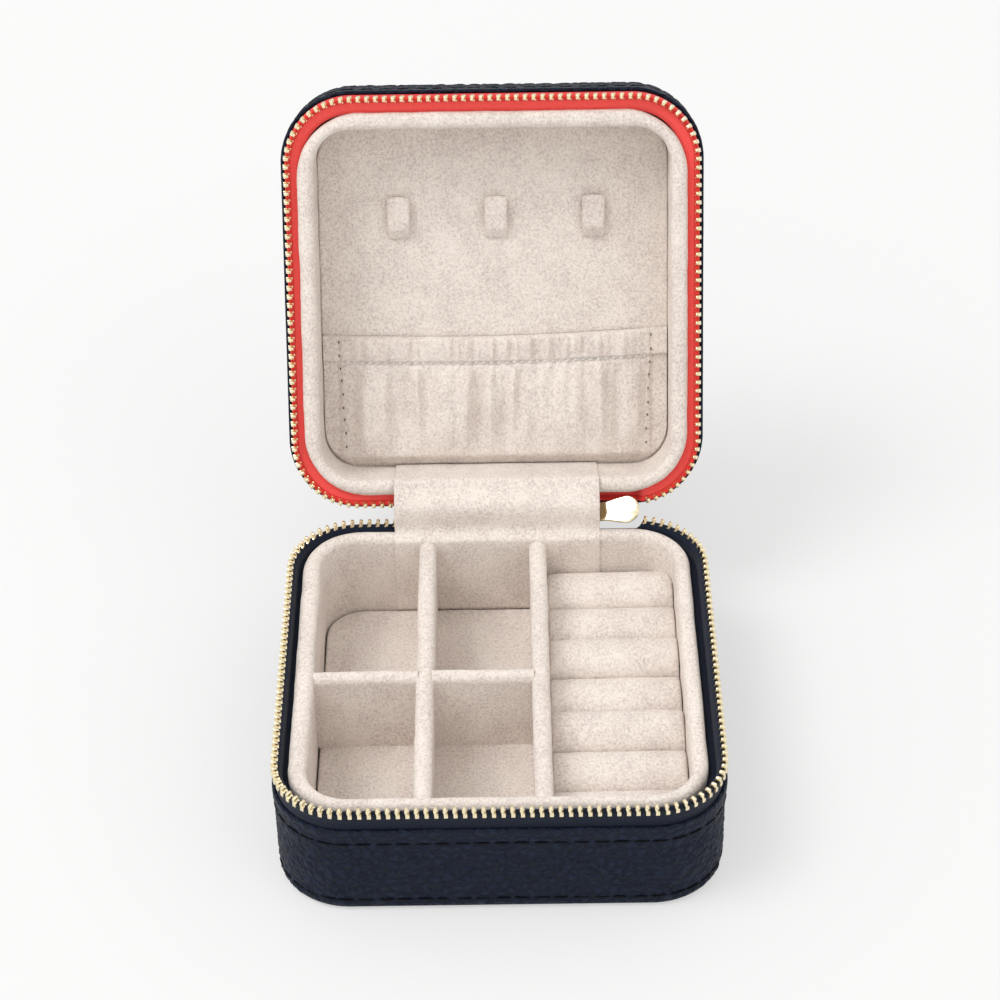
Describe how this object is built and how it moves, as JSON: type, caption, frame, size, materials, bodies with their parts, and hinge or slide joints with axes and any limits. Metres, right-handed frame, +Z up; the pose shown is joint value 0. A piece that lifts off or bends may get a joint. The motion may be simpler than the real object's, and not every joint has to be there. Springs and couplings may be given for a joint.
{
  "type": "travel jewellery case",
  "caption": "Square zip-round travel jewellery case with a hinged lid, divided suede tray, ring rolls, lid pocket and necklace hooks.",
  "frame": {"origin": "centre of the base's underside", "axes": "+X to the user's right, +Y to the hinge at the back, +Z up"},
  "size_m": [0.1, 0.1633, 0.1222],
  "materials": {
    "navy_leather": "pebbled, semi-matt",
    "suede": "short brushed nap, matt",
    "zip_brass": "polished pale gold plate",
    "navy_tape": "herringbone woven tape",
    "red_tape": "woven tape",
    "greyboard": "raw board",
    "foam": "open foam, hidden",
    "elastic": "knitted elastic, hidden"
  },
  "bodies": {
    "base": {"base_leather_bottom": "navy_leather", "base_leather_wall": "navy_leather", "base_board": "greyboard", "base_wall_board": "greyboard", "base_zip_tape": "navy_tape", "base_zip_teeth": "zip_brass", "base_zip_stop": "zip_brass", "tray_floor_foam": "foam", "tray_floor": "suede", "tray_wall_lining": "suede", "long_divider_left": "suede", "long_divider_right": "suede", "cross_divider_left": "suede", "cross_divider_right": "suede", "ring_pad_base": "foam", "ring_roll_1": "suede", "ring_roll_2": "suede", "ring_roll_3": "suede", "ring_roll_4": "suede", "ring_roll_5": "suede", "ring_roll_6": "suede", "ring_roll_7": "suede", "hinge_strap_lower": "suede", "spine_lower": "navy_leather"},
    "lid": {"lid_leather_top": "navy_leather", "lid_leather_wall": "navy_leather", "lid_board": "greyboard", "lid_wall_board": "greyboard", "lid_zip_tape": "red_tape", "lid_zip_teeth": "zip_brass", "lid_zip_stop": "zip_brass", "lid_foam": "foam", "lid_panel": "suede", "lid_frame": "suede", "necklace_hook_left": "suede", "necklace_hook_middle": "suede", "necklace_hook_right": "suede", "lid_pocket": "suede", "pocket_elastic": "elastic", "hinge_strap_upper": "suede", "spine_upper": "navy_leather"},
    "slider": {"zip_slider": "zip_brass", "slider_pin": "zip_brass"},
    "pull": {"pull_tab": "zip_brass"}
  },
  "joints": [
    {"name": "lid_hinge", "type": "hinge", "parent": "base", "child": "lid", "pos_m": [0, 0.0508, 0.0307], "axis": [-1, 0, 0], "range_deg": [-114.5, 5.5]},
    {"name": "slider_tilt", "type": "hinge", "parent": "base", "child": "slider", "pos_m": [0, 0.0508, 0.0307], "axis": [-1, 0, 0], "range_deg": [-57.25, 2.75]},
    {"name": "pull_swing", "type": "hinge", "parent": "slider", "child": "pull", "pos_m": [0.0236, 0.0508, 0.0307], "axis": [0, 0.841, 0.541], "range_deg": [0, 105]}
  ],
  "couplings": [
    {"joint": "slider_tilt", "follows": "lid_hinge", "ratio": 0.5}
  ]
}
